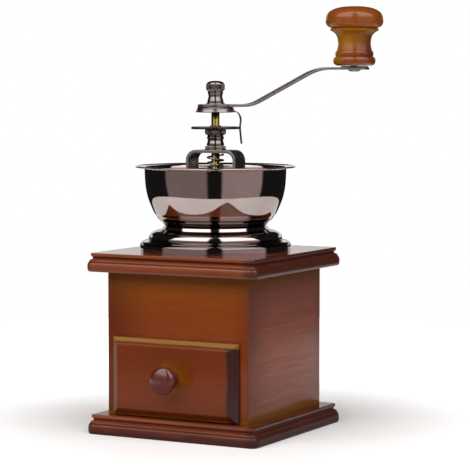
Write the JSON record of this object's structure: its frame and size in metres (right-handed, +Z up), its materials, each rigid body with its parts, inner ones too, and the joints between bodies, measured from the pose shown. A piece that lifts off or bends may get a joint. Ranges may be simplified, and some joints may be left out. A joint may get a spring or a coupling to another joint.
{
  "type": "manual coffee grinder",
  "caption": "Box coffee grinder with a moulded wooden case, front drawer, open metal hopper, conical burrs, adjusting nut and a bent top crank with a turned wooden knob.",
  "frame": {"origin": "centre of the case's flat underside, on the crank's axis", "axes": "+Z up along the shaft, -Y out of the drawer's front, +X to the right of someone facing the drawer"},
  "size_m": [0.1536, 0.1541, 0.2785],
  "materials": {
    "moulding_wood": "dark mahogany stain under gloss lacquer",
    "case_wood": "red-brown stain under gloss lacquer, horizontal fine grain",
    "drawer_wood": "red-brown stain under gloss lacquer",
    "inner_wood": "plain unlacquered board",
    "knob_wood": "orange-brown stain under gloss lacquer, turned",
    "dark_chrome": "polished black nickel",
    "steel": "plated, light brushing",
    "brass": "plain turned brass",
    "cast_iron": "bare cast, oiled"
  },
  "bodies": {
    "case": {"base_board": "moulding_wood", "top_board": "moulding_wood", "front_panel": "case_wood", "back_panel": "case_wood", "left_panel": "case_wood", "right_panel": "case_wood", "base_screw_1": "steel", "base_screw_2": "steel", "base_screw_3": "steel", "base_screw_4": "steel", "top_screw_1": "steel", "top_screw_2": "steel", "top_screw_3": "steel", "top_screw_4": "steel", "housing_screw_1": "steel", "housing_screw_2": "steel", "housing_screw_3": "steel", "housing_screw_4": "steel", "stepped_ring": "dark_chrome", "bowl_floor": "dark_chrome", "hopper_bowl": "dark_chrome", "hopper_rim": "dark_chrome", "bridge_bracket": "steel", "bridge_bush": "brass", "burr_housing": "cast_iron", "lower_strap": "steel", "lower_bush": "brass", "bridge_screw_1": "steel", "bridge_screw_2": "steel", "bowl_screw_1": "steel", "bowl_screw_2": "steel", "strap_screw_1": "steel", "strap_screw_2": "steel"},
    "drawer": {"drawer_front": "drawer_wood", "drawer_side_left": "inner_wood", "drawer_side_right": "inner_wood", "drawer_back": "inner_wood", "drawer_floor": "inner_wood", "drawer_pull": "drawer_wood", "drawer_pull_screw": "steel"},
    "rotor": {"thrust_washer": "steel", "shaft_spring": "steel"},
    "adjuster": {"adjusting_nut": "dark_chrome", "notched_disc": "dark_chrome"},
    "crankshaft": {"shaft": "brass", "inner_burr": "cast_iron", "burr_washer": "steel", "burr_nut": "steel", "spring_washer": "steel", "locking_plate": "dark_chrome", "crank_arm": "dark_chrome", "crank_washer": "steel", "cap_nut": "dark_chrome", "knob_spindle": "steel", "knob_washer": "steel"},
    "knob": {"crank_knob": "knob_wood", "knob_bush": "brass"}
  },
  "joints": [
    {"name": "drawer_slide", "type": "slide", "parent": "case", "child": "drawer", "axis": [0, -1, 0], "range_m": [0, 0.07]},
    {"name": "crank_spin", "type": "hinge", "parent": "case", "child": "rotor", "pos_m": [0, 0, 0.1853], "axis": [0, 0, 1], "continuous": true},
    {"name": "nut_turn", "type": "hinge", "parent": "rotor", "child": "adjuster", "pos_m": [0, 0, 0.19], "axis": [0, 0, 1], "range_deg": [-180, 540]},
    {"name": "burr_lift", "type": "slide", "parent": "rotor", "child": "crankshaft", "axis": [0, 0, 1], "range_m": [-0.0012, 0.0004], "deforming": ["shaft_spring"]},
    {"name": "knob_spin", "type": "hinge", "parent": "crankshaft", "child": "knob", "pos_m": [0.07201, 0.06042, 0.2392], "axis": [0, 0, 1], "continuous": true}
  ],
  "couplings": [
    {"joint": "nut_turn", "follows": "burr_lift", "rad_per_m": -7854}
  ]
}
